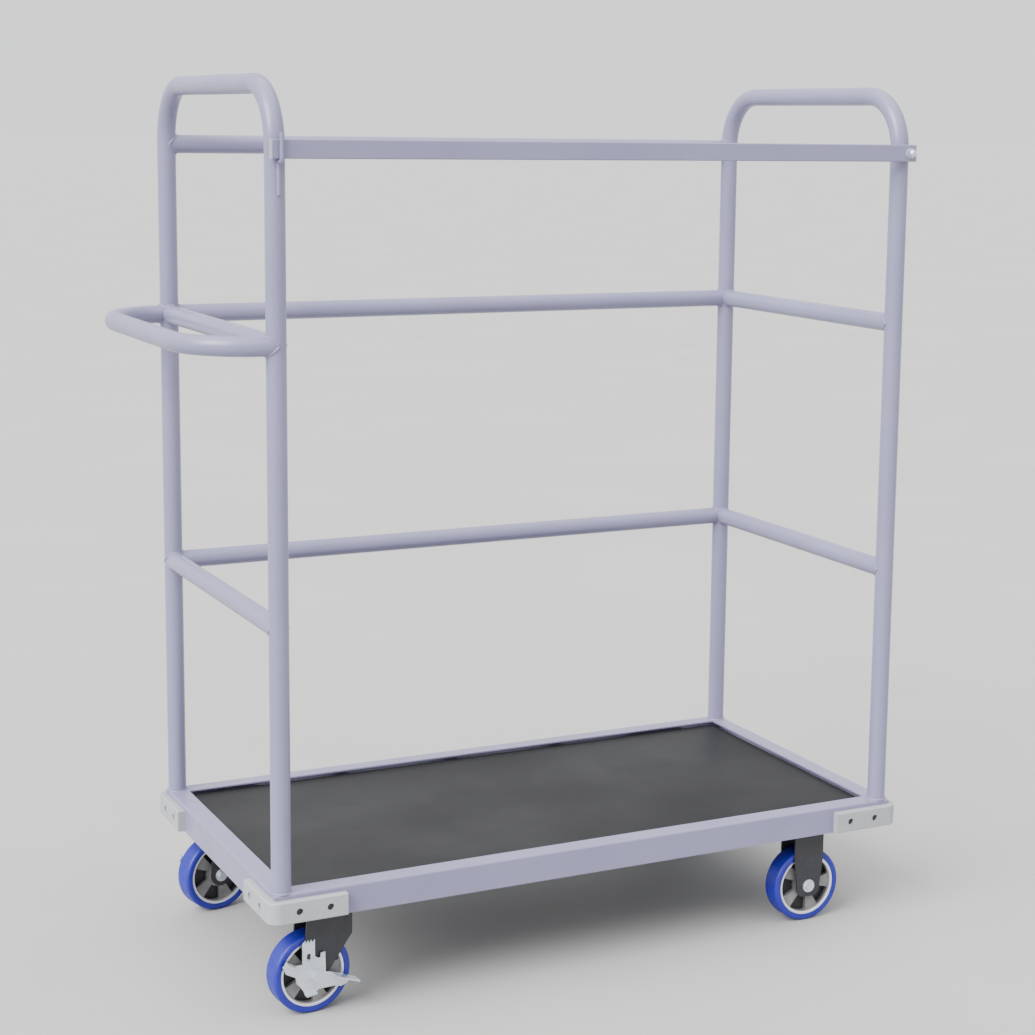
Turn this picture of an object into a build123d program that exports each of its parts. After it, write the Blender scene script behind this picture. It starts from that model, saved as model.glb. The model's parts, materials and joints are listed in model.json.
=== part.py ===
"""Airport luggage trolley: tube cage on a steel platform with two swivel and two fixed casters.

X runs along the platform, with the push handle at the -X end. -Y is the open loading side, which
the gate bar closes. Z is up. The origin is on the floor, under the middle of the whole length.
"""
from build123d import *
import math
import os

# ---- driving dimensions, millimetres and degrees ----
platform_length = 1400.0
platform_width = 726.0
caster_head = 56.0
channel_recess = 12.0

rim_width = 40.0
rim_height = 56.0
rim_wall = 3.0
rim_corner = 4.0
channel_width = 150.0
channel_wall = 4.0
cross_member_width = 40.0
cross_member_wall = 2.0
cross_member_count = 3
deck_thickness = 12.0
deck_recess = 9.0
deck_gap = 1.0
deck_corner_cut = 6.0

tube_d = 38.0
tube_wall = 2.0
hoop_height = 1769.0
hoop_bend = 112.0
low_rail_height = 770.0
mid_rail_height = 1298.0
top_rail_height = 1651.0
handle_reach = 150.0
handle_bend = 145.0
handle_tip_trim = 4.0  # how far each end of the handle stops short of its post's axis

gate_height = 35.0
gate_depth = 15.0
gate_wall = 1.5
gate_corner = 2.5
gate_centre_height = 1653.0
gate_overhang = 17.0
gate_post_gap = 2.0
gate_cap_thickness = 2.0
pivot_d = 10.0
pivot_boss_d = 16.0
running_clearance = 0.05
washer_d = 20.0
washer_play = 0.2
dome_nut_flats = 17.0
dome_nut_hex_height = 8.0
dome_nut_dome_d = 15.0
hook_rod_d = 8.0
hook_gap = 1.0
hook_cope = 0.6
hook_rest_gap = 0.3
hook_stem_length = 60.0
hook_prong_rise = 12.0

bumper_height = 44.0
bumper_drop = 10.0
bumper_thickness = 15.0
bumper_leg = 157.0
bumper_corner_radius = 24.0
bumper_edge = 3.0
bumper_screw_inset = 60.0
bumper_screw_spacing = 62.0
bumper_screw_d = 6.0
bumper_screw_head_d = 11.0
bumper_screw_head_height = 4.0
bumper_counterbore_d = 14.0
bumper_counterbore_depth = 9.0

wheel_d = 160.0
tyre_thickness = 13.0
tyre_width = 46.0
tyre_shoulder = 7.0
rim_band = 6.0
rim_band_width = 42.0
rim_band_edge = 1.0
web_thickness = 5.0
spoke_thickness = 31.0
spoke_count = 5
spoke_angle = 30.0
pocket_inner_r = 28.0
pocket_margin = 1.5
pocket_corner = 3.0
hub_d = 46.0
hub_play = 1.0
bearing_d = 35.0
bearing_width = 11.0
sleeve_d = 15.0
axle_d = 10.0
axle_head_flats = 17.0
axle_head_height = 7.0
axle_washer_d = 28.0
axle_washer_thickness = 2.0

fixed_caster_inset = 181.0
swivel_caster_inset = 133.0
caster_side_inset = 60.0
caster_trail = 48.0
swivel_rest_front = 5.0
swivel_rest_rear = 12.0
plate_length = 140.0
plate_width = 110.0
plate_thickness = 5.0
plate_hole_x = 105.0
plate_hole_y = 80.0
plate_hole_d = 11.0
plate_corner = 10.0
plate_bolt_d = 10.0
plate_bolt_flats = 17.0
plate_bolt_head = 6.4
weld_nut_height = 8.0
weld_nut_d = 18.0
tyre_side_gap = 2.0
fork_sheet = 3.5
fork_below_axle = 24.0
fixed_leg_top = 72.0
fixed_leg_bottom = 57.0
fixed_leg_corner = 18.0
fixed_leg_shoulder = 72.0
swivel_leg_front = 33.0
swivel_leg_back = 62.0
swivel_leg_shoulder = 50.0
crown_bend = 3.0
race_d = 76.0
race_height = 11.0
race_lip = 3.0
race_play = 0.3
kingpin_d = 14.0
kingpin_head_d = 24.0
kingpin_head_height = 5.0

brake_sheet = 3.0
brake_play = 0.4
arm_width = 26.0
arm_offset = -13.0
arm_top = 67.0
arm_bottom = 16.0
tooth_count = 4
tooth_height = 6.0
arm_travel = 4.0
guide_d = 8.0
guide_height = 42.0
spacer_d = 20.0
pedal_tread_depth = 22.0
wing_tread_depth = 12.0
foot_flange_depth = 8.0

# ---- places worked out from the driving dimensions ----
post_x = platform_length / 2 - rim_width / 2
post_y = platform_width / 2 - rim_width / 2
handle_end = post_x + handle_reach + tube_d / 2
bumper_end = platform_length / 2 + bumper_thickness
mid_x = (handle_end - bumper_end) / 2
left_x, right_x = mid_x - post_x, mid_x + post_x
caster_top = wheel_d + caster_head
platform_bottom = caster_top - channel_recess
platform_top = platform_bottom + rim_height
deck_bottom = platform_top - deck_recess - deck_thickness
rim_inner_x = platform_length / 2 - rim_width
rim_inner_y = platform_width / 2 - rim_width

axle_height = wheel_d / 2
wheel_rim_d = wheel_d - 2 * tyre_thickness
fork_gap = tyre_width + 2 * tyre_side_gap
caster_y = platform_width / 2 - caster_side_inset
fixed_x = mid_x + platform_length / 2 - fixed_caster_inset
swivel_x = mid_x - platform_length / 2 + swivel_caster_inset
plate_bottom = caster_top - plate_thickness
fork_half = fork_gap / 2
leg_out = fork_half + fork_sheet
fork_top = plate_bottom - race_play - race_height

washer_thickness = gate_post_gap - washer_play
gate_back_y = -post_y - tube_d / 2 - gate_post_gap
gate_front_y = gate_back_y - gate_depth
gate_left_x = left_x - gate_overhang
gate_right_x = right_x + gate_overhang
gate_bottom = gate_centre_height - gate_height / 2
gate_top = gate_centre_height + gate_height / 2

corners = {
    "front_left": (-1, -1),
    "front_right": (1, -1),
    "rear_left": (-1, 1),
    "rear_right": (1, 1),
}

os.makedirs("parts", exist_ok=True)


def write(piece, name, place=Location()):
    """Set a finished piece at its place, label it and write it as one STEP file."""
    placed = piece.moved(place)
    placed.label = name
    export_step(placed, f"parts/{name}.step")


def side_plane(y):
    """A plane facing -Y at the given y, with its own x along +X and its own y along +Z."""
    return Plane(origin=(0, y, 0), x_dir=(1, 0, 0), z_dir=(0, -1, 0))


# ---- platform rim: four steel angles, mitred at the corners and open underneath ----
def rim_rail(along_x, side):
    """One mitred angle of the rim. side is -1 or 1 and picks which of the pair."""
    half_x, half_y = platform_length / 2, platform_width / 2
    if along_x:
        outline = [(-half_x, side * half_y), (half_x, side * half_y),
                   (rim_inner_x, side * rim_inner_y), (-rim_inner_x, side * rim_inner_y)]
        section_plane = Plane(origin=(mid_x - half_x, 0, 0), x_dir=(0, 1, 0), z_dir=(1, 0, 0))
        face, run = side * half_y, platform_length
    else:
        outline = [(side * half_x, -half_y), (side * half_x, half_y),
                   (side * rim_inner_x, rim_inner_y), (side * rim_inner_x, -rim_inner_y)]
        section_plane = Plane(origin=(0, half_y, 0), x_dir=(1, 0, 0), z_dir=(0, -1, 0))
        face, run = mid_x + side * half_x, platform_width
    inner, wall = face - side * rim_width, face - side * rim_wall
    with BuildPart() as rail:
        with BuildSketch(section_plane):
            Polygon((face, platform_bottom), (face, platform_top), (inner, platform_top),
                    (inner, platform_top - rim_wall), (wall, platform_top - rim_wall),
                    (wall, platform_bottom), align=None)
            heel = vertices().sort_by_distance((face, platform_top))[0]
            fillet(heel, rim_corner)
        extrude(amount=run)
        with BuildSketch(Plane.XY.offset(platform_bottom)):
            with Locations((mid_x, 0)):
                Polygon(*outline, align=None)
        extrude(amount=rim_height, mode=Mode.INTERSECT)
    return rail.part


write(rim_rail(True, -1), "front_rim_rail")
write(rim_rail(True, 1), "rear_rim_rail")
write(rim_rail(False, -1), "left_rim_rail")
write(rim_rail(False, 1), "right_rim_rail")

# ---- two channels across the platform, which the casters bolt to ----
channel_height = deck_bottom - caster_top
inside_y = platform_width / 2 - rim_wall
for name, x in (("left_caster_channel", swivel_x), ("right_caster_channel", fixed_x)):
    with BuildPart() as channel:
        with BuildSketch(Plane(origin=(x, inside_y, caster_top), x_dir=(1, 0, 0), z_dir=(0, -1, 0))):
            Rectangle(channel_width, channel_height, align=(Align.CENTER, Align.MIN))
            with Locations((0, channel_wall)):
                Rectangle(channel_width - 2 * channel_wall, channel_height,
                          align=(Align.CENTER, Align.MIN), mode=Mode.SUBTRACT)
        extrude(amount=2 * inside_y)
        with BuildSketch(Plane.XY.offset(caster_top)):
            for side in (-1, 1):
                with Locations((x, side * caster_y)):
                    with GridLocations(plate_hole_x, plate_hole_y, 2, 2):
                        Circle(plate_hole_d / 2)
        extrude(amount=channel_wall, mode=Mode.SUBTRACT)
    write(channel.part, name)

# ---- cross members between the channels ----
cross_spacing = (fixed_x - swivel_x) / (cross_member_count + 1)
with BuildPart() as cross_members:
    with Locations(((fixed_x + swivel_x) / 2, 0, caster_top + channel_height / 2)):
        with GridLocations(cross_spacing, 1, cross_member_count, 1):
            Box(cross_member_width, 2 * inside_y, channel_height)
            Box(cross_member_width - 2 * cross_member_wall, 2 * inside_y,
                channel_height - 2 * cross_member_wall, mode=Mode.SUBTRACT)
cross_members.part.label = "cross_members"
export_step(cross_members.part, "parts/cross_members.step")

# ---- coated plywood deck, let into the rim ----
with BuildPart() as deck_panel:
    with BuildSketch(Plane.XY.offset(deck_bottom)):
        with Locations((mid_x, 0)):
            deck_outline = Rectangle(2 * (rim_inner_x - deck_gap), 2 * (rim_inner_y - deck_gap))
        chamfer(deck_outline.vertices(), deck_corner_cut)
    extrude(amount=deck_thickness)
deck_panel.part.label = "deck_panel"
export_step(deck_panel.part, "parts/deck_panel.step")


# ---- the two end hoops: one bent tube each, standing on the rim ----
def end_hoop(x, bore_d):
    """An upside-down U of tube in the plane at x. A bore of 0 gives its solid envelope."""
    with BuildPart() as hoop:
        with BuildLine() as hoop_path:
            FilletPolyline(
                (x, -post_y, platform_top), (x, -post_y, hoop_height),
                (x, post_y, hoop_height), (x, post_y, platform_top), radius=hoop_bend)
        with BuildSketch(Plane.XY.offset(platform_top)):
            with Locations((x, -post_y)):
                Circle(tube_d / 2)
                if bore_d > 0:
                    Circle(bore_d / 2, mode=Mode.SUBTRACT)
        sweep(path=hoop_path.line)
    return hoop.part


tube_bore = tube_d - 2 * tube_wall
write(end_hoop(left_x, tube_bore), "left_hoop")
write(end_hoop(right_x, tube_bore), "right_hoop")


# ---- straight rails, coped round the posts and mitred where two meet on one post ----
def rail(start, end, height, mitres):
    """A tube from post axis to post axis. Each mitre is (end, side): end 0 or 1 of the run, and
    side -1 or 1 for the right or left hand of it, where another rail leaves the same post."""
    run = math.dist(start, end)
    turn = math.degrees(math.atan2(end[1] - start[1], end[0] - start[0]))
    reach = tube_d / 2
    with BuildPart() as straight:
        with BuildSketch(Plane.YZ):
            Circle(reach)
            Circle(tube_bore / 2, mode=Mode.SUBTRACT)
        extrude(amount=run)
        for last, side in mitres:
            near, far = (run, run - reach) if last else (0, reach)
            with BuildSketch(Plane.XY.offset(-reach)):
                Polygon((near, 0), (near, side * reach), (far, side * reach), align=None)
            extrude(amount=2 * reach, mode=Mode.SUBTRACT)
    return straight.part.moved(Location((start[0], start[1], height), (0, 0, turn)))


front_left, rear_left = (left_x, -post_y), (left_x, post_y)
front_right, rear_right = (right_x, -post_y), (right_x, post_y)
rails = {
    "rear_low_rail": (rear_left, rear_right, low_rail_height, [(0, -1), (1, -1)]),
    "rear_mid_rail": (rear_left, rear_right, mid_rail_height, [(0, -1), (1, -1)]),
    "rear_top_rail": (rear_left, rear_right, top_rail_height, []),
    "left_low_rail": (front_left, rear_left, low_rail_height, [(1, -1)]),
    "left_mid_rail": (front_left, rear_left, mid_rail_height, [(0, 1), (1, 1), (1, -1)]),
    "right_low_rail": (front_right, rear_right, low_rail_height, [(1, 1)]),
    "right_mid_rail": (front_right, rear_right, mid_rail_height, [(1, 1)]),
}
left_envelope, right_envelope = end_hoop(left_x, 0), end_hoop(right_x, 0)
for name, (start, end, height, mitres) in rails.items():
    write(rail(start, end, height, mitres) - left_envelope - right_envelope, name)

# ---- push handle: a U of tube from the two left posts ----
handle_x = left_x - handle_reach
tip_x = left_x - handle_tip_trim
with BuildPart() as push_handle:
    with BuildLine() as handle_path:
        FilletPolyline(
            (tip_x, -post_y, mid_rail_height), (handle_x, -post_y, mid_rail_height),
            (handle_x, post_y, mid_rail_height), (tip_x, post_y, mid_rail_height),
            radius=handle_bend)
    with BuildSketch(Plane(origin=(tip_x, -post_y, mid_rail_height), z_dir=(-1, 0, 0))):
        Circle(tube_d / 2)
        Circle(tube_bore / 2, mode=Mode.SUBTRACT)
    sweep(path=handle_path.line)
    with BuildSketch(Plane.XY.offset(mid_rail_height - tube_d)):
        for side in (-1, 1):
            with Locations((left_x, side * post_y)):
                Polygon((0, 0), (-tube_d, -side * tube_d), (0, -side * tube_d), align=None)
    extrude(amount=2 * tube_d, mode=Mode.SUBTRACT)
write(push_handle.part - left_envelope, "push_handle")

# ---- gate bar: flat box tube on a pivot at the right post, resting in a hook at the left ----
gate_length = gate_right_x - gate_left_x
pivot_plane = Plane(origin=(right_x, gate_back_y, gate_centre_height), z_dir=(0, -1, 0))
cap_plane = Plane(origin=(gate_left_x, gate_back_y - gate_depth / 2, gate_centre_height),
                  x_dir=(0, 1, 0), z_dir=(1, 0, 0))
with BuildPart() as gate_bar:
    with BuildSketch(cap_plane.offset(gate_cap_thickness)):
        RectangleRounded(gate_depth, gate_height, gate_corner)
        RectangleRounded(gate_depth - 2 * gate_wall, gate_height - 2 * gate_wall,
                         gate_corner - gate_wall, mode=Mode.SUBTRACT)
    extrude(amount=gate_length - 2 * gate_cap_thickness)
    with BuildSketch(pivot_plane):
        Circle(pivot_boss_d / 2)
    extrude(amount=gate_depth)
    with BuildSketch(pivot_plane):
        Circle(pivot_d / 2 + running_clearance)
    extrude(amount=gate_depth, mode=Mode.SUBTRACT)
gate_bar.part.label = "gate_bar"
export_step(gate_bar.part, "parts/gate_bar.step")

with BuildPart() as gate_end_caps:
    for along in (0, gate_length - gate_cap_thickness):
        with BuildSketch(cap_plane.offset(along)):
            RectangleRounded(gate_depth, gate_height, gate_corner)
        extrude(amount=gate_cap_thickness)
gate_end_caps.part.label = "gate_end_caps"
export_step(gate_end_caps.part, "parts/gate_end_caps.step")

# ---- gate pivot: a stud welded to the right post, two washers and a domed nut ----
post_front_y = -post_y - tube_d / 2
nut_seat_y = gate_front_y - washer_play - washer_thickness
nut_plane = Plane(origin=(right_x, nut_seat_y, gate_centre_height), z_dir=(0, -1, 0))
stud_plane = Plane(origin=(right_x, -post_y, gate_centre_height), z_dir=(0, -1, 0))
with BuildPart() as gate_pivot_stud:
    with BuildSketch(stud_plane):
        Circle(pivot_d / 2)
    extrude(amount=-post_y - nut_seat_y + dome_nut_hex_height)
    with Locations((right_x, -post_y, gate_centre_height)):
        Cylinder(tube_d / 2, 2 * tube_d, mode=Mode.SUBTRACT)
gate_pivot_stud.part.label = "gate_pivot_stud"
export_step(gate_pivot_stud.part, "parts/gate_pivot_stud.step")

with BuildPart() as gate_washers:
    for y in (post_front_y, gate_front_y - washer_play):
        with BuildSketch(Plane(origin=(right_x, y, gate_centre_height), z_dir=(0, -1, 0))):
            Circle(washer_d / 2)
            Circle(pivot_d / 2, mode=Mode.SUBTRACT)
        extrude(amount=washer_thickness)
gate_washers.part.label = "gate_washers"
export_step(gate_washers.part, "parts/gate_washers.step")

with BuildPart() as gate_dome_nut:
    with BuildSketch(nut_plane):
        RegularPolygon(dome_nut_flats / 2, 6, major_radius=False)
    extrude(amount=dome_nut_hex_height)
    with Locations((right_x, nut_seat_y - dome_nut_hex_height, gate_centre_height)):
        Sphere(dome_nut_dome_d / 2)
    with BuildSketch(nut_plane):
        Circle(pivot_d / 2)
    extrude(amount=dome_nut_hex_height, mode=Mode.SUBTRACT)
gate_dome_nut.part.label = "gate_dome_nut"
export_step(gate_dome_nut.part, "parts/gate_dome_nut.step")

# ---- gate hook: bent rod welded to the front of the left post ----
stem_y = post_front_y - hook_rod_d / 2 + hook_cope
prong_y = gate_front_y - hook_gap - hook_rod_d / 2
hook_rest_z = gate_bottom - hook_rest_gap - hook_rod_d / 2
hook_bend = hook_gap + hook_rod_d / 2
with BuildPart() as gate_hook:
    with BuildLine() as hook_path:
        FilletPolyline(
            (left_x, stem_y, hook_rest_z - hook_stem_length), (left_x, stem_y, hook_rest_z),
            (left_x, prong_y, hook_rest_z), (left_x, prong_y, gate_top + hook_prong_rise),
            radius=hook_bend)
    with BuildSketch(Plane.XY.offset(hook_rest_z - hook_stem_length)):
        with Locations((left_x, stem_y)):
            Circle(hook_rod_d / 2)
    sweep(path=hook_path.line)
    with Locations((left_x, -post_y, hook_rest_z)):
        Cylinder(tube_d / 2, 2 * hook_stem_length + hook_rod_d, mode=Mode.SUBTRACT)
gate_hook.part.label = "gate_hook"
export_step(gate_hook.part, "parts/gate_hook.step")


# ---- corner bumpers: moulded angles screwed to the outside of the rim ----
bumper_bottom = platform_top - bumper_drop - bumper_height
bumper_middle = bumper_bottom + bumper_height / 2
screw_offsets = (bumper_screw_inset, bumper_screw_inset + bumper_screw_spacing)


def bumper_screw_planes(sx, sy):
    """The four outward-facing planes on one corner's outer faces, at its screw centres."""
    out_x = mid_x + sx * (platform_length / 2 + bumper_thickness)
    out_y = sy * (platform_width / 2 + bumper_thickness)
    planes = []
    for offset in screw_offsets:
        planes.append(Plane(origin=(out_x - sx * offset, out_y, bumper_middle), z_dir=(0, sy, 0)))
        planes.append(Plane(origin=(out_x, out_y - sy * offset, bumper_middle), z_dir=(sx, 0, 0)))
    return planes


def corner_bumper(sx, sy):
    """An L of moulding round the corner on the side given by the two signs."""
    leg_inside = bumper_leg - bumper_thickness
    corner = (mid_x + sx * platform_length / 2, sy * platform_width / 2)
    outline = [(0, 0), (-leg_inside, 0), (-leg_inside, bumper_thickness),
               (bumper_thickness, bumper_thickness), (bumper_thickness, -leg_inside),
               (0, -leg_inside)]
    with BuildPart() as bumper:
        with BuildSketch(Plane.XY.offset(bumper_bottom)):
            with Locations(corner):
                Polygon(*[(sx * x, sy * y) for x, y in outline], align=None)
        extrude(amount=bumper_height)
        outer = bumper.edges().filter_by(Axis.Z).sort_by_distance(
            (corner[0] + sx * bumper_thickness, corner[1] + sy * bumper_thickness, bumper_middle))
        fillet(outer[0], bumper_corner_radius)
        rims = bumper.faces().filter_by(Axis.Z).edges()
        outside = [e for e in rims if max(sx * (e.center().X - corner[0]),
                                          sy * (e.center().Y - corner[1])) > bumper_thickness / 2]
        fillet(outside, bumper_edge)
        for plane in bumper_screw_planes(sx, sy):
            with Locations(plane):
                CounterBoreHole(bumper_screw_d / 2, bumper_counterbore_d / 2,
                                bumper_counterbore_depth, bumper_thickness)
    return bumper.part


for name, (sx, sy) in corners.items():
    write(corner_bumper(sx, sy), f"bumper_{name}")

with BuildPart() as bumper_screws:
    for sx, sy in corners.values():
        for plane in bumper_screw_planes(sx, sy):
            head_seat = plane.offset(-bumper_counterbore_depth)
            with BuildSketch(head_seat):
                Circle(bumper_screw_head_d / 2)
            extrude(amount=bumper_screw_head_height)
            with BuildSketch(head_seat):
                Circle(bumper_screw_d / 2)
            extrude(amount=-(bumper_thickness - bumper_counterbore_depth))
bumper_screws.part.label = "bumper_screws"
export_step(bumper_screws.part, "parts/bumper_screws.step")


# ---- casters. Each is modelled about its own plate centre and then set at its place. ----
with BuildPart() as mounting_plate:
    with BuildSketch(Plane.XY.offset(plate_bottom)):
        RectangleRounded(plate_length, plate_width, plate_corner)
        with GridLocations(plate_hole_x, plate_hole_y, 2, 2):
            Circle(plate_hole_d / 2, mode=Mode.SUBTRACT)
    extrude(amount=plate_thickness)

with BuildPart() as fixed_fork:
    add(mounting_plate.part)
    foot = axle_height - fork_below_axle
    shoulder = plate_bottom - fixed_leg_shoulder
    for y in (-fork_half, leg_out):
        with BuildSketch(side_plane(y)):
            Polygon((-fixed_leg_top / 2, plate_bottom), (fixed_leg_top / 2, plate_bottom),
                    (fixed_leg_top / 2, shoulder), (fixed_leg_bottom / 2, axle_height),
                    (fixed_leg_bottom / 2, foot), (-fixed_leg_bottom / 2, foot),
                    (-fixed_leg_bottom / 2, axle_height), (-fixed_leg_top / 2, shoulder),
                    align=None)
            fillet(vertices().group_by(Axis.Y)[0], fixed_leg_corner)
            with Locations((0, axle_height)):
                Circle(axle_d / 2, mode=Mode.SUBTRACT)
        extrude(amount=fork_sheet)

crown_length = swivel_leg_front + swivel_leg_back
crown_x = (swivel_leg_front - swivel_leg_back) / 2
with BuildPart() as swivel_fork:
    for y in (-fork_half, leg_out):
        with BuildSketch(side_plane(y)):
            with Locations((-caster_trail, axle_height)):
                Circle(fork_below_axle)
            with Locations((crown_x, fork_top - swivel_leg_shoulder / 2)):
                Rectangle(crown_length, swivel_leg_shoulder)
            make_hull()
            with Locations((-caster_trail, axle_height)):
                Circle(axle_d / 2, mode=Mode.SUBTRACT)
        extrude(amount=fork_sheet)
    with BuildSketch(Plane.XY.offset(fork_top - fork_sheet)):
        with Locations((crown_x, 0)):
            Rectangle(crown_length, 2 * leg_out)
        Circle(kingpin_d / 2 + running_clearance, mode=Mode.SUBTRACT)
    extrude(amount=fork_sheet)
    ridges = swivel_fork.edges().filter_by(Axis.X).group_by(Axis.Z)[-1]
    fillet([ridge for ridge in ridges if abs(ridge.center().Y) > fork_half], crown_bend)

with BuildPart() as swivel_race:
    with BuildSketch(Plane.XY.offset(fork_top)):
        Circle(race_d / 2)
        Circle(kingpin_d / 2 + running_clearance, mode=Mode.SUBTRACT)
    extrude(amount=race_height)
    chamfer(swivel_race.edges().filter_by(GeomType.CIRCLE).sort_by(SortBy.RADIUS)[-2:], race_lip)

with BuildPart() as kingpin:
    with BuildSketch(Plane.XY.offset(fork_top - fork_sheet - race_play)):
        Circle(kingpin_d / 2)
    extrude(amount=plate_bottom - fork_top + fork_sheet + race_play)
    with BuildSketch(Plane.XY.offset(fork_top - fork_sheet - race_play)):
        Circle(kingpin_head_d / 2)
    extrude(amount=-kingpin_head_height)

# ---- wheel, about its own centre with its axle along Y ----
wheel_plane = side_plane(tyre_width / 2)
hub_length = fork_gap - 2 * hub_play
with BuildPart() as tyre:
    with BuildSketch(wheel_plane):
        Circle(wheel_d / 2)
        Circle(wheel_rim_d / 2, mode=Mode.SUBTRACT)
    extrude(amount=tyre_width)
    fillet(tyre.edges().filter_by(GeomType.CIRCLE).sort_by(SortBy.RADIUS)[-2:], tyre_shoulder)

with BuildPart() as wheel_rim:
    with BuildSketch(side_plane(rim_band_width / 2)):
        Circle(wheel_rim_d / 2)
        Circle(wheel_rim_d / 2 - rim_band, mode=Mode.SUBTRACT)
    extrude(amount=rim_band_width)
    chamfer(wheel_rim.edges().filter_by(GeomType.CIRCLE), rim_band_edge)
    with BuildSketch(side_plane(spoke_thickness / 2)):
        Circle(wheel_rim_d / 2 - rim_band)
    extrude(amount=spoke_thickness)
    with BuildSketch(side_plane(hub_length / 2)):
        Circle(hub_d / 2)
    extrude(amount=hub_length)
    pocket_depth = (spoke_thickness - web_thickness) / 2
    spoke_spread = wheel_rim_d * math.tan(math.radians(spoke_angle / 2))
    for y in (spoke_thickness / 2, -web_thickness / 2):
        with BuildSketch(side_plane(y)):
            Circle(wheel_rim_d / 2 - rim_band - pocket_margin)
            Circle(pocket_inner_r, mode=Mode.SUBTRACT)
            with PolarLocations(0, spoke_count):
                Polygon((0, 0), (wheel_rim_d, -spoke_spread), (wheel_rim_d, spoke_spread),
                        align=None, mode=Mode.SUBTRACT)
            fillet(vertices(), pocket_corner)
        extrude(amount=pocket_depth, mode=Mode.SUBTRACT)
    for y in (hub_length / 2, -hub_length / 2 + bearing_width):
        with BuildSketch(side_plane(y)):
            Circle(bearing_d / 2)
        extrude(amount=bearing_width, mode=Mode.SUBTRACT)
    with BuildSketch(side_plane(hub_length / 2)):
        Circle(sleeve_d / 2 + hub_play)
    extrude(amount=hub_length, mode=Mode.SUBTRACT)

with BuildPart() as wheel_bearings:
    for y in (hub_length / 2, -hub_length / 2 + bearing_width):
        with BuildSketch(side_plane(y)):
            Circle(bearing_d / 2)
            Circle(sleeve_d / 2 + running_clearance, mode=Mode.SUBTRACT)
        extrude(amount=bearing_width)

arm_face = leg_out + brake_play
pedal_face = arm_face + brake_sheet + brake_play
brake_stack = pedal_face + brake_sheet + brake_play - leg_out


def axle_kit(stack):
    """Bolt, sleeve, two washers and nut through a fork. stack is what the nut end passes outside
    the -Y leg before its washer: nothing on a plain caster, the brake's sheets on a braked one."""
    bolt_seat = leg_out + axle_washer_thickness
    nut_seat = -leg_out - stack
    nut_face = nut_seat - axle_washer_thickness
    rings = [(fork_half, fork_gap, sleeve_d), (bolt_seat, axle_washer_thickness, axle_washer_d),
             (nut_seat, axle_washer_thickness, axle_washer_d)]
    if stack > 0:
        rings.append((-leg_out, pedal_face - brake_play - leg_out, spacer_d))
    with BuildPart() as bolt:
        with BuildSketch(side_plane(bolt_seat + axle_head_height)):
            RegularPolygon(axle_head_flats / 2, 6, major_radius=False)
        extrude(amount=axle_head_height)
        with BuildSketch(side_plane(bolt_seat)):
            Circle(axle_d / 2)
        extrude(amount=bolt_seat - nut_face + axle_head_height)
    pieces = bolt.part.solids()
    for start, thickness, outer_d in rings:
        with BuildPart() as axle_ring:
            with BuildSketch(side_plane(start)):
                Circle(outer_d / 2)
                Circle(axle_d / 2, mode=Mode.SUBTRACT)
            extrude(amount=thickness)
        pieces += axle_ring.part.solids()
    with BuildPart() as nut:
        with BuildSketch(side_plane(nut_face)):
            RegularPolygon(axle_head_flats / 2, 6, major_radius=False)
            Circle(axle_d / 2, mode=Mode.SUBTRACT)
        extrude(amount=axle_head_height)
    return Compound(children=[*pieces, *nut.part.solids()])


plain_axle = axle_kit(0)
braked_axle = axle_kit(brake_stack)

# ---- brake, on the -Y face of the swivel fork and about the wheel's axle ----
with BuildPart() as guided_fork:
    add(swivel_fork.part)
    with BuildSketch(side_plane(-leg_out)):
        with Locations((arm_offset - caster_trail, axle_height + guide_height)):
            Circle(guide_d / 2)
    extrude(amount=brake_play + brake_sheet)

with BuildPart() as lock_arm:
    with BuildSketch(side_plane(-arm_face)):
        with Locations((arm_offset, (arm_bottom + arm_top) / 2)):
            Rectangle(arm_width, arm_top - arm_bottom)
        tooth = arm_width / tooth_count
        for index in range(tooth_count):
            left = arm_offset - arm_width / 2 + index * tooth
            Polygon((left, arm_top), (left + tooth, arm_top), (left + tooth, arm_top + tooth_height),
                    align=None)
        with Locations((arm_offset, guide_height - arm_travel / 2)):
            SlotCenterToCenter(arm_travel, guide_d + 2 * running_clearance, rotation=90,
                               mode=Mode.SUBTRACT)
    extrude(amount=brake_sheet)

pedal_outline = [
    (-68, 29), (-60, 38), (-51, 33), (-43, 28), (-27, 27), (0, 39), (5, 35), (10, 35), (11, 44),
    (20, 45), (21, 4), (30, 2), (40, -2), (52, -6), (68, -14), (73, -21), (65, -28), (54, -32),
    (40, -28), (5, -28), (0, -34), (-22, -37), (-25, -28), (-33, -16), (-40, -9), (-42, 4), (-62, 15),
]
right_tread = [(36, -1), (84, -19), (83, -22), (36, -4)]
left_tread = [(-62, 38), (-44, 28), (-45, 26), (-63, 36)]
foot_flange = [(-22, -34), (0, -31), (0, -34), (-22, -37)]
with BuildPart() as brake_pedal:
    with BuildSketch(side_plane(-pedal_face)):
        Polygon(*pedal_outline, align=None)
        Circle(axle_d / 2 + running_clearance, mode=Mode.SUBTRACT)
    extrude(amount=brake_sheet)
    for outline, depth in ((right_tread, pedal_tread_depth), (left_tread, wing_tread_depth),
                           (foot_flange, foot_flange_depth)):
        with BuildSketch(side_plane(-pedal_face)):
            Polygon(*outline, align=None)
        extrude(amount=brake_sheet + depth)

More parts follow.
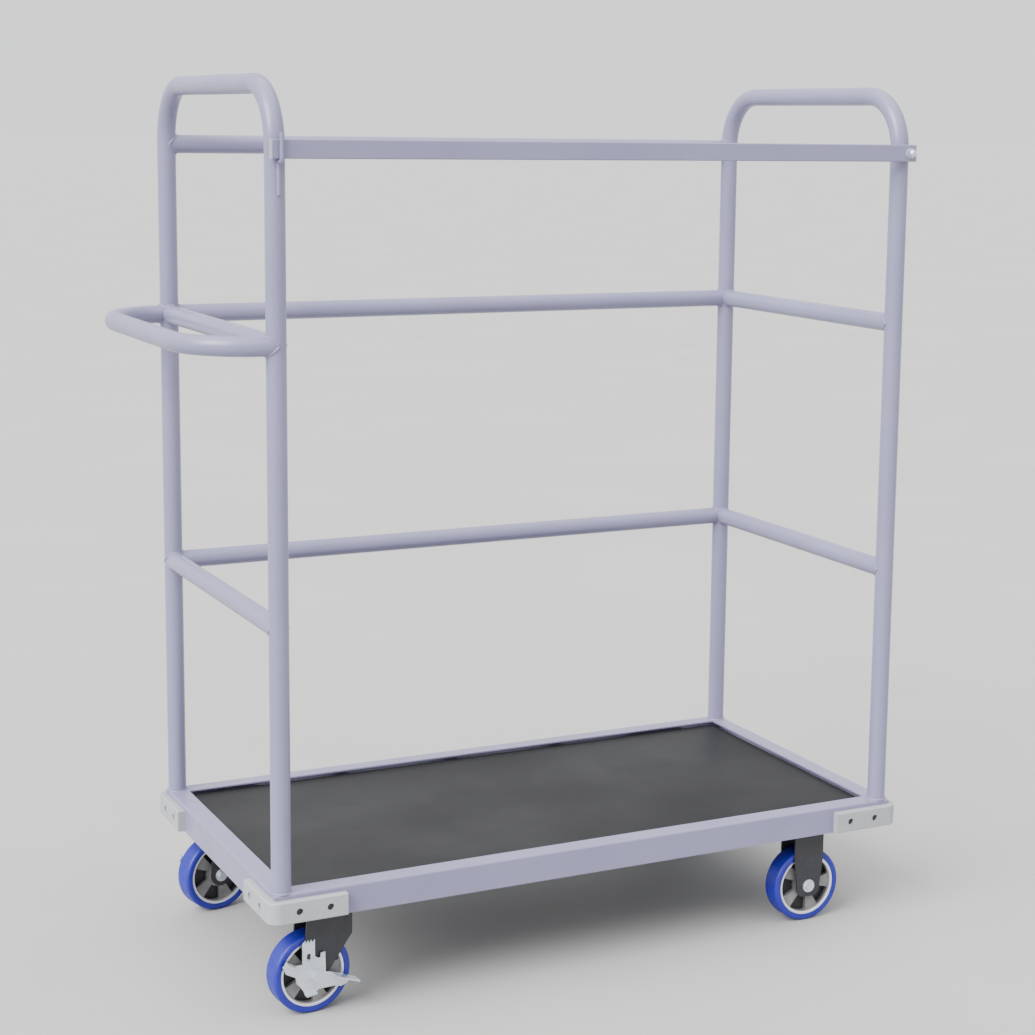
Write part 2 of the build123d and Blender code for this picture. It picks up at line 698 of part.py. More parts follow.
# ---- set each caster at its place under the platform ----
wheel_parts = {"tyre": tyre.part, "wheel_rim": wheel_rim.part, "wheel_bearings": wheel_bearings.part}
fixed_axles = []
for name, side in (("front", -1), ("rear", 1)):
    at_plate = Location((fixed_x, side * caster_y, 0))
    at_axle = at_plate * Location((0, 0, axle_height))
    write(fixed_fork.part, f"fixed_fork_{name}", at_plate)
    for kind, piece in wheel_parts.items():
        write(piece, f"fixed_{kind}_{name}", at_axle)
    fixed_axles += plain_axle.moved(at_axle).solids()
write(Compound(children=fixed_axles), "fixed_axle_bolts")

brake_parts = {
    "swivel_fork": (guided_fork.part, 0), "swivel_race": (swivel_race.part, 0),
    "swivel_axle": (braked_axle, axle_height), "brake_pedal": (brake_pedal.part, axle_height),
    "brake_lock_arm": (lock_arm.part, axle_height), "swivel_tyre": (tyre.part, axle_height),
    "swivel_wheel_rim": (wheel_rim.part, axle_height),
    "swivel_wheel_bearings": (wheel_bearings.part, axle_height),
}
for name, side, turn in (("front", -1, swivel_rest_front), ("rear", 1, swivel_rest_rear)):
    at_plate = Location((swivel_x, side * caster_y, 0), (0, 0, turn))
    for kind, (piece, height) in brake_parts.items():
        handed = piece if side < 0 else mirror(piece, about=Plane.XZ)
        back = -caster_trail if height else 0
        write(handed, f"{kind}_{name}", at_plate * Location((back, 0, height)))

plates, pins = [], []
for side in (-1, 1):
    plates += mounting_plate.part.moved(Location((swivel_x, side * caster_y, 0))).solids()
    pins += kingpin.part.moved(Location((swivel_x, side * caster_y, 0))).solids()
write(Compound(children=plates), "swivel_plates")
write(Compound(children=pins), "swivel_kingpins")

# ---- bolts through the caster plates into nuts welded inside the channels ----
bolt_places = []
for caster_x in (fixed_x, swivel_x):
    for side in (-1, 1):
        for x in (-plate_hole_x / 2, plate_hole_x / 2):
            for y in (-plate_hole_y / 2, plate_hole_y / 2):
                bolt_places.append((caster_x + x, side * caster_y + y))
with BuildPart() as caster_bolts:
    with BuildSketch(Plane.XY.offset(plate_bottom)):
        with Locations(*bolt_places):
            RegularPolygon(plate_bolt_flats / 2, 6, major_radius=False)
    extrude(amount=-plate_bolt_head)
    with BuildSketch(Plane.XY.offset(plate_bottom)):
        with Locations(*bolt_places):
            Circle(plate_bolt_d / 2)
    extrude(amount=plate_thickness + channel_wall + weld_nut_height)
caster_bolts.part.label = "caster_bolts"
export_step(caster_bolts.part, "parts/caster_bolts.step")

with BuildPart() as weld_nuts:
    with BuildSketch(Plane.XY.offset(caster_top + channel_wall)):
        with Locations(*bolt_places):
            Circle(weld_nut_d / 2)
            Circle(plate_bolt_d / 2, mode=Mode.SUBTRACT)
    extrude(amount=weld_nut_height)
weld_nuts.part.label = "weld_nuts"
export_step(weld_nuts.part, "parts/weld_nuts.step")
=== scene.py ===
"""Looks of the airport luggage trolley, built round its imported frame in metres, +Z up."""
import json
import logging
import math
from collections.abc import Callable
from dataclasses import dataclass, field
from enum import Enum
from functools import cache

import bmesh
import bpy
from mathutils import Matrix, Vector


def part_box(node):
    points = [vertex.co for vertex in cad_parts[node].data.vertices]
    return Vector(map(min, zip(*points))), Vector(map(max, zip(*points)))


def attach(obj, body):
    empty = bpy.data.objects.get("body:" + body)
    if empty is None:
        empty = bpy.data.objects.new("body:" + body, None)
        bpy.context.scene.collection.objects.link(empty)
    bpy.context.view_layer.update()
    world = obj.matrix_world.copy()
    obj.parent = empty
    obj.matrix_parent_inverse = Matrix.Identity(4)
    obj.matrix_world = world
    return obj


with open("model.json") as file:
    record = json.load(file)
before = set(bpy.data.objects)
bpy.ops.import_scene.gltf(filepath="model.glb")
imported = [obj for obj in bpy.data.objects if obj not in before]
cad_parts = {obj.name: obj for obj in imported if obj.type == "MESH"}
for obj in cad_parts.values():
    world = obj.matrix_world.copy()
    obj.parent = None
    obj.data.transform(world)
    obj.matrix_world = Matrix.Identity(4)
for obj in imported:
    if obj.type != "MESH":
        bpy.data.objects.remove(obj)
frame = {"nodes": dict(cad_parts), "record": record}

log = logging.getLogger("trolley")
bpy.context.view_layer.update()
Colour = tuple[float, float, float]
Point = tuple[float, float, float]
Path = Callable[[float], Vector]


def linear(red: int, green: int, blue: int) -> Colour:
    """Turn a screen colour, 0 to 255, into the linear colour that a shader takes.

    Args:
        red, green, blue: The screen colour.
    Returns:
        The linear colour.
    """
    shares = [value / 255 for value in (red, green, blue)]
    return tuple(s / 12.92 if s < 0.04045 else ((s + 0.055) / 1.055) ** 2.4 for s in shares)


class Axis(Enum):
    """One direction of the trolley's frame."""

    X = Vector((1, 0, 0))
    Y = Vector((0, 1, 0))
    Z = Vector((0, 0, 1))


# ---------------------------------------------------------------- finishes


class NodeSheet:
    """The node tree of one material, with short calls that add and join nodes."""

    def __init__(self, name: str) -> None:
        """Start a material of the given name with its shader and object coordinates."""
        self.material = bpy.data.materials.new(name)
        self.material.use_nodes = True
        self.tree = self.material.node_tree
        self.shader = self.tree.nodes["Principled BSDF"]
        self.place = self.add("ShaderNodeTexCoord").outputs["Object"]

    def add(self, kind: str, **settings: object) -> bpy.types.Node:
        """Add a node and set its properties.

        Args:
            kind: The node's type name.
            settings: Properties of the node, by name.
        Returns:
            The new node.
        """
        node = self.tree.nodes.new(kind)
        for name, value in settings.items():
            setattr(node, name, value)
        return node

    def feed(self, socket: bpy.types.NodeSocket, value: object) -> None:
        """Join a socket to another socket, or set it to a plain value."""
        if isinstance(value, bpy.types.NodeSocket):
            self.tree.links.new(value, socket)
        else:
            socket.default_value = value

    def noise(self, scale: float, detail: float = 3.0, place: object = None) -> bpy.types.NodeSocket:
        """Fractal noise over the surface.

        Args:
            scale: Patches in a metre.
            detail: Octaves of finer noise.
            place: Coordinates, or None for the object's own.
        Returns:
            The noise's 0 to 1 output.
        """
        node = self.add("ShaderNodeTexNoise")
        self.feed(node.inputs["Vector"], place or self.place)
        node.inputs["Scale"].default_value = scale
        node.inputs["Detail"].default_value = detail
        return node.outputs["Fac"]

    def spread(self, fac: bpy.types.NodeSocket, low: float, high: float,
               start: float = 0.3, end: float = 0.7) -> bpy.types.NodeSocket:
        """Map a stretch of a 0 to 1 value onto low to high.

        Args:
            fac: The value to map.
            low, high: What start and end become.
            start, end: The stretch of the value that is used.
        Returns:
            The mapped value.
        """
        node = self.add("ShaderNodeMapRange")
        for socket, value in zip(node.inputs, (fac, start, end, low, high)):
            self.feed(socket, value)
        return node.outputs["Result"]

    def blend(self, fac: object, first: object, second: object) -> bpy.types.NodeSocket:
        """Mix two colours.

        Args:
            fac: The share of the second colour.
            first, second: Colours or colour sockets.
        Returns:
            The mixed colour.
        """
        node = self.add("ShaderNodeMix", data_type="RGBA")
        self.feed(node.inputs["Factor"], fac)
        for socket, value in ((node.inputs[6], first), (node.inputs[7], second)):
            self.feed(socket, (*value, 1.0) if isinstance(value, tuple) else value)
        return node.outputs[2]

    def sum(self, operation: str, first: object, second: object = 0.0) -> bpy.types.NodeSocket:
        """One arithmetic step on values, named as Blender's Math node names it."""
        node = self.add("ShaderNodeMath", operation=operation)
        self.feed(node.inputs[0], first)
        self.feed(node.inputs[1], second)
        return node.outputs["Value"]

    def turned(self, centre: Point, angle: float) -> bpy.types.NodeSocket:
        """Object coordinates moved and turned into a piece's own frame.

        Args:
            centre: The piece's centre.
            angle: Its turn about the upright axis, in radians.
        Returns:
            The local coordinates.
        """
        node = self.add("ShaderNodeMapping", vector_type="TEXTURE")
        self.feed(node.inputs["Vector"], self.place)
        node.inputs["Location"].default_value = centre
        node.inputs["Rotation"].default_value = (0, 0, angle)
        return node.outputs["Vector"]

    def emboss(self, height: bpy.types.NodeSocket, depth: float, strength: float = 1.0,
               under: bpy.types.NodeSocket = None) -> bpy.types.NodeSocket:
        """Turn a height into a bumped normal and put it on the shader.

        Args:
            height: The 0 to 1 height.
            depth: The height of 1, in metres.
            strength: The share of the bump that shows.
            under: A bumped normal that this one lies on.
        Returns:
            The normal, for another bump to lie on.
        """
        node = self.add("ShaderNodeBump")
        self.feed(node.inputs["Height"], height)
        node.inputs["Distance"].default_value = depth
        node.inputs["Strength"].default_value = strength
        if under is not None:
            self.feed(node.inputs["Normal"], under)
        self.feed(self.shader.inputs["Normal"], node.outputs["Normal"])
        return node.outputs["Normal"]


@dataclass(frozen=True)
class Coat:
    """A painted, plated or moulded surface: soft patches of tone, fine grain and a little dirt.

    Sizes are metres, and scales are patches in a metre.
    """

    name: str
    tone: Colour
    shade: Colour
    dirt: Colour
    dirt_share: float = 0.12
    patch_scale: float = 6.0
    grain_scale: float = 900.0
    grain_depth: float = 0.00005
    wave_scale: float = 90.0
    wave_depth: float = 0.00006
    rough: tuple[float, float] = (0.3, 0.42)
    metallic: float = 0.0
    coat: float = 0.0
    specular: float = 0.5

    def make(self) -> bpy.types.Material:
        """Build the coat's material."""
        sheet = NodeSheet(self.name)
        patches = sheet.noise(self.patch_scale, 4.0)
        grain = sheet.noise(self.grain_scale, 2.0)
        specks = sheet.noise(self.patch_scale * 9, 6.0)
        colour = sheet.blend(sheet.spread(patches, 0.0, 1.0), self.tone, self.shade)
        grime = sheet.spread(specks, 0.0, self.dirt_share, 0.5, 0.78)
        sheet.feed(sheet.shader.inputs["Base Color"], sheet.blend(grime, colour, self.dirt))
        uneven = sheet.spread(sheet.noise(self.patch_scale * 4, 5.0), *self.rough)
        sheet.feed(sheet.shader.inputs["Roughness"], uneven)
        waves = sheet.emboss(sheet.noise(self.wave_scale, 2.0), self.wave_depth, 0.5)
        sheet.emboss(grain, self.grain_depth, 0.35, waves)
        sheet.shader.inputs["Metallic"].default_value = self.metallic
        sheet.shader.inputs["Coat Weight"].default_value = self.coat
        sheet.shader.inputs["Specular IOR Level"].default_value = self.specular
        return sheet.material


@dataclass(frozen=True)
class DeckFilm:
    """Phenolic film on plywood, pressed with a fine wire-mesh print, its weave lightened as a painted
    sheen and scuffed by bags.
    """

    name: str = "deck_film_finish"
    tone: Colour = linear(21, 21, 22)
    shade: Colour = linear(17, 17, 18)
    scuff_and_sheen: Colour = linear(42, 42, 43)
    mesh_pitch: float = 0.0032
    mesh_depth: float = 0.00025
    bands_per_unit: float = 20.0
    drag_stretch: float = 7.0

    def make(self) -> bpy.types.Material:
        """Build the film's material."""
        sheet = NodeSheet(self.name)
        waves = []
        for direction in ("X", "Y"):
            wave = sheet.add("ShaderNodeTexWave", wave_type="BANDS", bands_direction=direction)
            sheet.feed(wave.inputs["Vector"], sheet.place)
            wave.inputs["Scale"].default_value = math.tau / (self.bands_per_unit * self.mesh_pitch)
            wave.inputs["Distortion"].default_value = 0.4
            wave.inputs["Detail"].default_value = 0.0
            waves.append(wave.outputs["Fac"])
        weave = sheet.sum("MAXIMUM", waves[0], waves[1])
        stretch = sheet.add("ShaderNodeMapping")
        sheet.feed(stretch.inputs["Vector"], sheet.place)
        stretch.inputs["Scale"].default_value = (1.0, self.drag_stretch, 1.0)
        drag = sheet.noise(5.0, 7.0, stretch.outputs["Vector"])
        cloud = sheet.noise(2.4, 5.0)
        colour = sheet.blend(sheet.spread(cloud, 0.0, 1.0), self.tone, self.shade)
        # Painted sheen: the raised weave is lightened towards the light colour.
        colour = sheet.blend(sheet.spread(weave, 0.0, 0.10, 0.4, 1.0), colour, self.scuff_and_sheen)
        # Scuffs from bags: dragged, stretched streaks of the light colour.
        colour = sheet.blend(sheet.spread(drag, 0.0, 0.12, 0.55, 0.8), colour, self.scuff_and_sheen)
        sheet.feed(sheet.shader.inputs["Base Color"], colour)
        sheet.feed(sheet.shader.inputs["Roughness"], sheet.spread(cloud, 0.42, 0.6))
        sheet.emboss(weave, self.mesh_depth, 0.6)
        sheet.shader.inputs["Specular IOR Level"].default_value = 0.2
        return sheet.material


@dataclass(frozen=True)
class CastWheel:
    """A pressure-cast wheel: sandy spokes, pocket floors darkened with painted shade and a ring turned
    bright on the lathe.
    """

    centre: Point
    angle: float
    name: str
    ring_inner: float
    pocket_floor: float
    cast: Colour = linear(150, 148, 148)
    cast_shade: Colour = linear(118, 117, 118)
    # Painted shade: the dark colour laid on the pocket floors, where shade falls in the recesses.
    pocket_painted_shade: Colour = linear(64, 63, 66)
    turned: Colour = linear(232, 234, 240)
    ring_blur: float = 0.0004
    floor_blur: float = 0.004
    groove_rate: float = 9000.0
    groove_share: float = 0.06
    relief: float = 0.00022
    ring_polish: float = 0.22

    def make(self) -> bpy.types.Material:
        """Build the wheel's material about its own axle."""
        sheet = NodeSheet(self.name)
        local = sheet.turned(self.centre, self.angle)
        split = sheet.add("ShaderNodeSeparateXYZ")
        sheet.feed(split.inputs["Vector"], local)
        across = sheet.add("ShaderNodeCombineXYZ")
        sheet.feed(across.inputs["X"], split.outputs["X"])
        sheet.feed(across.inputs["Z"], split.outputs["Z"])
        length = sheet.add("ShaderNodeVectorMath", operation="LENGTH")
        sheet.feed(length.inputs[0], across.outputs["Vector"])
        radius = length.outputs["Value"]
        ring = sheet.spread(radius, 0.0, 1.0, self.ring_inner - self.ring_blur,
                            self.ring_inner + self.ring_blur)
        depth = sheet.sum("ABSOLUTE", split.outputs["Y"])
        # Mask of the pocket floors, which take the painted shade.
        floor = sheet.spread(depth, 1.0, 0.0, self.pocket_floor,
                             self.pocket_floor + self.floor_blur)
        sand = sheet.noise(700.0, 3.0)
        patches = sheet.spread(sheet.noise(40.0, 4.0), 0.0, 1.0)
        cast = sheet.blend(patches, self.cast, self.cast_shade)
        # Pocket floors darkened with painted shade.
        cast = sheet.blend(floor, cast, self.pocket_painted_shade)
        sheet.feed(sheet.shader.inputs["Base Color"], sheet.blend(ring, cast, self.turned))
        polish = sheet.sum("MULTIPLY", ring, self.ring_polish)
        rough = sheet.sum("SUBTRACT", sheet.spread(sand, 0.5, 0.62), polish)
        sheet.feed(sheet.shader.inputs["Roughness"], rough)
        grooves = sheet.sum("SINE", sheet.sum("MULTIPLY", radius, self.groove_rate))
        cut = sheet.sum("MULTIPLY", sheet.spread(grooves, 0.0, 1.0, -1.0, 1.0), ring)
        grain = sheet.sum("MULTIPLY", sand, sheet.sum("SUBTRACT", 1.0, ring))
        grooves = sheet.sum("MULTIPLY", cut, self.groove_share)
        sheet.emboss(sheet.sum("ADD", grooves, grain), self.relief, 0.7)
        sheet.shader.inputs["Metallic"].default_value = 0.65
        return sheet.material


class Finish(Enum):
    """The trolley's finishes, each made into a material once."""

    FRAME_PAINT = Coat("frame_paint_finish", linear(127, 125, 154), linear(121, 119, 148),
                       linear(116, 114, 118), rough=(0.3, 0.4), coat=0.1)
    BUMPER = Coat("bumper_plastic_finish", linear(158, 161, 164), linear(150, 153, 156),
                  linear(128, 128, 124), dirt_share=0.3, grain_scale=1500.0, rough=(0.42, 0.55),
                  patch_scale=14.0)
    CAP = Coat("cap_plastic_finish", linear(150, 152, 160), linear(140, 142, 150), linear(90, 90, 90),
               rough=(0.4, 0.5))
    ZINC = Coat("zinc_plate_finish", linear(222, 227, 236), linear(205, 212, 222), linear(150, 150, 146),
                dirt_share=0.35, patch_scale=30.0, rough=(0.28, 0.46), metallic=0.85,
                wave_scale=260.0, wave_depth=0.00012)
    # Black oxide made extra dark: the screw heads also carry the painted shade of their counterbores.
    OXIDE_AND_PAINTED_SHADE = Coat("black_oxide_painted_shade_finish", linear(52, 52, 56), linear(42, 42, 46), linear(88, 84, 80),
                 patch_scale=40.0, rough=(0.35, 0.5), metallic=0.4)
    FORK = Coat("fork_paint_finish", linear(38, 38, 44), linear(32, 32, 38), linear(80, 77, 74),
                dirt_share=0.16, patch_scale=18.0, rough=(0.38, 0.5), wave_scale=220.0,
                wave_depth=0.00012)
    TYRE = Coat("tyre_blue_finish", linear(20, 24, 148), linear(15, 19, 130), linear(66, 70, 104),
                dirt_share=0.3, patch_scale=22.0, grain_scale=1300.0, rough=(0.4, 0.55),
                wave_scale=420.0, wave_depth=0.00008)
    BEARING = Coat("bearing_steel_finish", linear(176, 178, 182), linear(150, 152, 156),
                   linear(88, 86, 80), patch_scale=60.0, rough=(0.25, 0.4), metallic=0.9)
    DECK = DeckFilm()

    @cache
    def material(self) -> bpy.types.Material:
        """The finish's material, made when it is first asked for."""
        return self.value.make()


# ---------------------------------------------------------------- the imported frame


@dataclass(frozen=True)
class PackedFrame:
    """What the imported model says: which body and slot each node has, and where joints are."""

    bodies: dict[str, str]
    slots: dict[str, str]
    joints: dict[str, dict]

    @classmethod
    def read(cls) -> "PackedFrame":
        """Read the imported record."""
        record = frame["record"]
        behaviour = record["behaviour"]
        bodies = {node: body for body, nodes in behaviour["bodies"].items() for node in nodes}
        slots = {part["node"]: part["material_slot"] for part in record["subparts"]}
        joints = {joint["name"]: joint for joint in behaviour["joints"]}
        return cls(bodies, slots, joints)

    def middle(self, node: str) -> Vector:
        """The middle of a node's box."""
        low, high = (Vector(corner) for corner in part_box(node))
        return (low + high) / 2


packed = PackedFrame.read()


def dress(node: str, material: bpy.types.Material) -> None:
    """Give a CAD node a material through its own slots.

    Args:
        node: The node's name.
        material: The material that it takes.
    """
    piece = frame["nodes"][node]
    for slot in piece.material_slots:
        slot.link = "OBJECT"
        slot.material = material
    log.info("dressed %s in %s", node, material.name)


# ---------------------------------------------------------------- modelling by hand


def clear_selection() -> None:
    """Leave nothing selected, so that an operator acts only on what comes next."""
    if bpy.context.object and bpy.context.object.mode != "OBJECT":
        bpy.ops.object.mode_set(mode="OBJECT")
    bpy.ops.object.select_all(action="DESELECT")


def settle(piece: bpy.types.Object, name: str, finish: Finish, near: str,
           smooth: float = 35.0) -> bpy.types.Object:
    """Name a finished piece, put its place in its mesh, smooth it, dress it and let it ride.

    Args:
        piece: The modelled object.
        name: Its name.
        finish: Its finish.
        near: The CAD node whose body it rides on.
        smooth: Edges flatter than this many degrees are shaded smooth.
    Returns:
        The piece.
    """
    clear_selection()
    piece.name = piece.data.name = name
    piece.select_set(True)
    bpy.context.view_layer.objects.active = piece
    bpy.ops.object.transform_apply(location=True, rotation=True, scale=True)
    bpy.ops.object.shade_smooth_by_angle(angle=math.radians(smooth))
    piece.data.materials.clear()
    piece.data.materials.append(finish.material())
    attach(piece, packed.bodies[near])
    log.info("made %s on %s", name, packed.bodies[near])
    return piece


@dataclass(frozen=True)
class WeldBead:
    """A line of weld round a joint between two tubes, with the ripple that the torch leaves."""

    thickness: float = 0.0026
    ripple: float = 0.16
    ripple_pitch: float = 0.0042
    around: int = 96
    sides: int = 8
    smooth: float = 70.0

    def ring(self, radius: float) -> bpy.types.Object:
        """A flat ring of bead about the origin, for shaping round a joint."""
        clear_selection()
        bpy.ops.mesh.primitive_torus_add(major_radius=radius, minor_radius=self.thickness,
                                         major_segments=self.around, minor_segments=self.sides)
        return bpy.context.object

    def lay(self, name: str, near: str, radius: float, path: Path) -> bpy.types.Object:
        """Lay a bead along a closed path and let it ride.

        Args:
            name: The piece's name.
            near: The CAD node that it is welded to.
            radius: The tubes' radius.
            path: A function from an angle to a point on the joint.
        Returns:
            The bead.
        """
        piece = self.ring(radius)
        count = math.tau * radius / self.ripple_pitch
        step = math.tau / self.around
        shape = bmesh.new()
        shape.from_mesh(piece.data)
        for vertex in shape.verts:
            angle = math.atan2(vertex.co.y, vertex.co.x)
            centre = Vector((math.cos(angle), math.sin(angle), 0)) * radius
            inward = vertex.co - centre
            along = (path(angle + step) - path(angle - step)).normalized()
            side = along.cross(self.out(path(angle), near)).normalized()
            out = side.cross(along)
            swell = 1 + self.ripple * math.sin(count * angle)
            height = inward.dot(centre.normalized())
            vertex.co = path(angle) + (out * height + side * inward.z) * swell
        bmesh.ops.recalc_face_normals(shape, faces=shape.faces)
        shape.to_mesh(piece.data)
        shape.free()
        return settle(piece, name, Finish.FRAME_PAINT, near, self.smooth)

    def out(self, point: Vector, near: str) -> Vector:
        """The direction out of the joint at a point: away from the middle of the near node."""
        away = point - packed.middle(near)
        return away.normalized() if away.length > 0 else Axis.Z.value


# ---------------------------------------------------------------- sub-assemblies


@dataclass
class TubeCage:
    """Hoops, rails and handle, all one size of round tube, with the welds that join them."""

    hoops: tuple[str, str] = ("left_hoop", "right_hoop")
    rear_rails: tuple[str, ...] = ("rear_low_rail", "rear_mid_rail", "rear_top_rail")
    end_rails: tuple[str, ...] = ("left_low_rail", "left_mid_rail", "right_low_rail",
                                  "right_mid_rail")
    handle: str = "push_handle"
    saddle_ease: float = 0.002
    bead: WeldBead = field(default_factory=WeldBead)

    def dress(self) -> None:
        """Paint every tube."""
        for node in (*self.hoops, *self.rear_rails, *self.end_rails, self.handle):
            dress(node, Finish.FRAME_PAINT.material())

    def radius(self) -> float:
        """The tube's radius, from the height of a rail."""
        low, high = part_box(self.rear_rails[0])
        return (high[2] - low[2]) / 2

    def post(self, hoop: str, side: int) -> Vector:
        """The foot of one post's axis.

        Args:
            hoop: The hoop's node.
            side: -1 for the front post, 1 for the rear.
        Returns:
            The point on the rim under the post.
        """
        low, high = (Vector(corner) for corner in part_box(hoop))
        y = high.y - self.radius() if side > 0 else low.y + self.radius()
        return Vector(((low.x + high.x) / 2, y, low.z))

    def saddle(self, post: Vector, height: float, along: Vector) -> Path:
        """The line where a level tube meets a post of the same size, eased at its two cusps.

        Args:
            post: The foot of the post's axis.
            height: The level tube's height.
            along: The way that the tube leaves the post.
        Returns:
            A function from an angle to a point of the line.
        """
        radius = self.radius()
        across = along.cross(Axis.Z.value)
        centre = Vector((post.x, post.y, height))

        def path(angle: float) -> Vector:
            """The point of the line at an angle round the level tube."""
            reach = math.sqrt(math.sin(angle) ** 2 + self.saddle_ease)
            return centre + radius * (along * reach + across * math.cos(angle)
                                      + Axis.Z.value * math.sin(angle))
        return path

    def weld(self) -> None:
        """Weld the posts to the rim and the rails and the handle to the posts."""
        radius = self.radius()
        for hoop in self.hoops:
            for side, word in ((-1, "front"), (1, "rear")):
                foot = self.post(hoop, side)

                def round_post(angle: float, foot: Vector = foot) -> Vector:
                    """The point at an angle round the foot of the post."""
                    return foot + radius * Vector((math.cos(angle), math.sin(angle), 0))
                self.bead.lay(f"weld_foot_{hoop}_{word}", hoop, radius, round_post)
        for rail in (*self.rear_rails, *self.end_rails):
            low, high = (Vector(corner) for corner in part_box(rail))
            height = (low.z + high.z) / 2
            if rail in self.rear_rails:
                ends = [(self.post(hoop, 1), Axis.X.value * (1 if hoop == self.hoops[0] else -1))
                        for hoop in self.hoops]
            else:
                hoop = self.hoops[0] if rail.startswith("left") else self.hoops[1]
                ends = [(self.post(hoop, side), Axis.Y.value * -side) for side in (-1, 1)]
            for index, (post, along) in enumerate(ends):
                self.bead.lay(f"weld_{rail}_{index}", rail, radius,
                              self.saddle(post, height, along))
        low, high = (Vector(corner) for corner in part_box(self.handle))
        for side, word in ((-1, "front"), (1, "rear")):
            self.bead.lay(f"weld_handle_{word}", self.handle, radius,
                          self.saddle(self.post(self.hoops[0], side), (low.z + high.z) / 2,
                                      -Axis.X.value))


@dataclass
class Platform:
    """The rim, its caster channels and cross members, the deck and the corner bumpers."""

    steel: tuple[str, ...] = ("front_rim_rail", "rear_rim_rail", "left_rim_rail",
                              "right_rim_rail", "left_caster_channel",
                              "right_caster_channel", "cross_members")
    corners: tuple[str, ...] = ("front_left", "front_right", "rear_left", "rear_right")

    def dress(self) -> None:
        """Paint the steel, cover the deck and dress the bumpers and their screws."""
        for node in self.steel:
            dress(node, Finish.FRAME_PAINT.material())
        dress("deck_panel", Finish.DECK.material())
        for corner in self.corners:
            dress(f"bumper_{corner}", Finish.BUMPER.material())
        # Screw heads darkened with painted counterbore shade as well as black oxide.
        dress("bumper_screws", Finish.OXIDE_AND_PAINTED_SHADE.material())


@dataclass
class Gate:
    """The gate bar with its caps, pivot and hook."""

    caps: str = "gate_end_caps"
    painted: tuple[str, ...] = ("gate_bar", "gate_hook")
    plated: tuple[str, ...] = ("gate_pivot_stud", "gate_washers", "gate_dome_nut")

    def dress(self) -> None:
        """Paint the bar and its hook, dress the caps and plate the fittings."""
        for node in self.painted:
            dress(node, Finish.FRAME_PAINT.material())
        dress(self.caps, Finish.CAP.material())
        for node in self.plated:
            dress(node, Finish.ZINC.material())


@dataclass
class Casters:
    """Two fixed and two swivel casters with their wheels and brakes."""

    ring_share: float = 0.91
    pocket_floor: float = 0.004

    def dress(self) -> None:
        """Dress every caster piece."""
        for end in ("front", "rear"):
            for kind in ("fixed", "swivel"):
                self.dress_wheel(kind, end)
                dress(f"{kind}_fork_{end}", Finish.FORK.material())
            dress(f"swivel_race_{end}", Finish.FORK.material())
            for node in (f"swivel_axle_{end}", f"brake_pedal_{end}", f"brake_lock_arm_{end}"):
                dress(node, Finish.ZINC.material())
        for node in ("caster_bolts", "fixed_axle_bolts", "swivel_kingpins", "weld_nuts"):
            dress(node, Finish.ZINC.material())
        dress("swivel_plates", Finish.FORK.material())

    def dress_wheel(self, kind: str, end: str) -> None:
        """Dress one wheel about its own axle.

        Args:
            kind: fixed or swivel.
            end: front or rear.
        """
        joint = packed.joints[f"{kind}_wheel_{end}_roll"]
        across = Vector(joint["axis"])
        angle = math.atan2(-across.x, across.y)
        low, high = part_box(f"fixed_wheel_rim_{end}")
        ring_inner = (high[2] - low[2]) / 2 * self.ring_share
        cast = CastWheel(tuple(joint["pos_m"]), angle, f"cast_wheel_{kind}_{end}", ring_inner,
                         self.pocket_floor)
        dress(f"{kind}_wheel_rim_{end}", cast.make())
        dress(f"{kind}_tyre_{end}", Finish.TYRE.material())
        dress(f"{kind}_wheel_bearings_{end}", Finish.BEARING.material())


# ---------------------------------------------------------------- studio


@dataclass(frozen=True)
class Viewpoint:
    """The camera: where it stands, how it is turned and its lens."""

    place: Point = (-1.8616, -3.9987, 1.7055)
    yaw: float = 27.131
    pitch: float = 9.128
    roll: float = -0.787
    lens: float = 73.51
    sensor: float = 36.0
    shift: tuple[float, float] = (-0.0610, -0.0530)

    def place_camera(self) -> None:
        """Make the camera and look through it."""
        yaw, pitch, roll = (math.radians(a) for a in (self.yaw, self.pitch, self.roll))
        forward = Vector((math.sin(yaw) * math.cos(pitch), math.cos(yaw) * math.cos(pitch),
                          -math.sin(pitch)))
        right = Vector((math.cos(yaw), -math.sin(yaw), 0))
        down = forward.cross(right)
        level = right * math.cos(roll) + down * math.sin(roll)
        under = down * math.cos(roll) - right * math.sin(roll)
        turn = Matrix((level, -under, -forward)).transposed()
        data = bpy.data.cameras.new("camera")
        data.lens, data.sensor_width = self.lens, self.sensor
        data.shift_x, data.shift_y = self.shift
        camera = bpy.data.objects.new("camera", data)
        camera.matrix_world = Matrix.Translation(self.place) @ turn.to_4x4()
        bpy.context.collection.objects.link(camera)
        bpy.context.scene.camera = camera


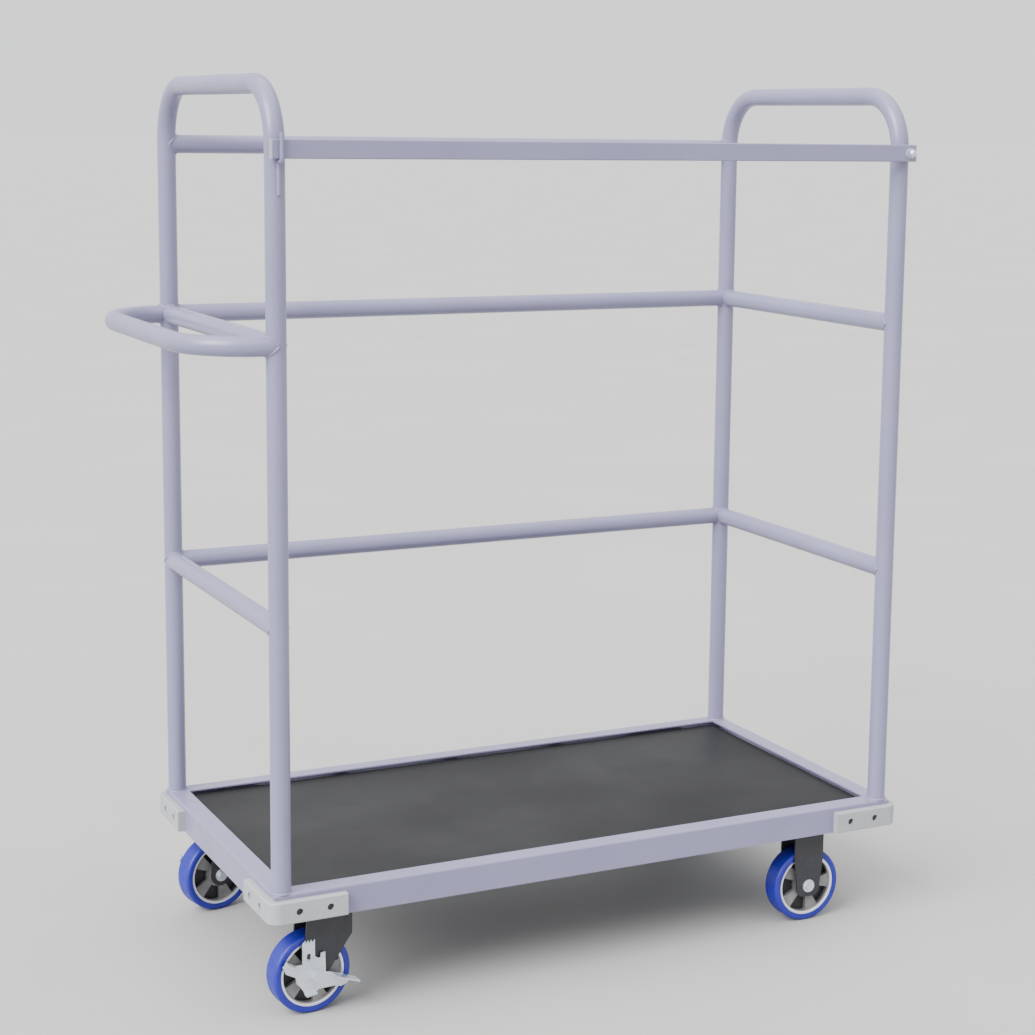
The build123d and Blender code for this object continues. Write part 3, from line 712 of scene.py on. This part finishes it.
@dataclass(frozen=True)
class SoftLamp:
    """One broad, even lamp: its light comes from every direction within a wide cone."""

    name: str
    direction: Point
    strength: float
    width: float

    def light(self) -> None:
        """Hang the lamp."""
        data = bpy.data.lights.new(self.name, "SUN")
        data.energy, data.angle = self.strength, math.radians(self.width)
        lamp = bpy.data.objects.new(self.name, data)
        lamp.rotation_euler = Vector(self.direction).to_track_quat("-Z", "Y").to_euler()
        bpy.context.collection.objects.link(lamp)


@dataclass
class Studio:
    """A plain pale floor under soft light."""

    floor_size: float = 400.0
    floor_tone: Colour = linear(170, 170, 168)
    floor_shade: Colour = linear(165, 165, 163)
    sky: Colour = (0.97, 0.98, 1.0)
    sky_strength: float = 1.36
    lamps: tuple[SoftLamp, ...] = (
        SoftLamp("key", (0.75, 0.25, -0.62), 6.0, 40.0),
        SoftLamp("overhead", (0.0, 0.05, -1.0), 2.5, 90.0),
    )

    def build(self) -> None:
        """Lay the floor and hang the lights."""
        clear_selection()
        bpy.ops.mesh.primitive_plane_add(size=self.floor_size, location=(0, 0, 0))
        floor = bpy.context.object
        floor.name = "floor"
        sheet = NodeSheet("floor")
        tone = sheet.blend(sheet.spread(sheet.noise(1.2, 5.0), 0.0, 1.0), self.floor_tone,
                           self.floor_shade)
        sheet.feed(sheet.shader.inputs["Base Color"], tone)
        sheet.shader.inputs["Roughness"].default_value = 0.7
        floor.data.materials.append(sheet.material)
        world = bpy.data.worlds.new("studio")
        world.use_nodes = True
        backdrop = world.node_tree.nodes["Background"]
        backdrop.inputs["Color"].default_value = (*self.sky, 1.0)
        backdrop.inputs["Strength"].default_value = self.sky_strength
        bpy.context.scene.world = world
        for lamp in self.lamps:
            lamp.light()


def main() -> None:
    """Build the studio, then dress and finish each sub-assembly."""
    logging.basicConfig(level=logging.INFO, format="%(name)s: %(message)s")
    Viewpoint().place_camera()
    Studio().build()
    Platform().dress()
    cage = TubeCage()
    cage.dress()
    cage.weld()
    Gate().dress()
    Casters().dress()


if __name__ == "__main__":
    main()
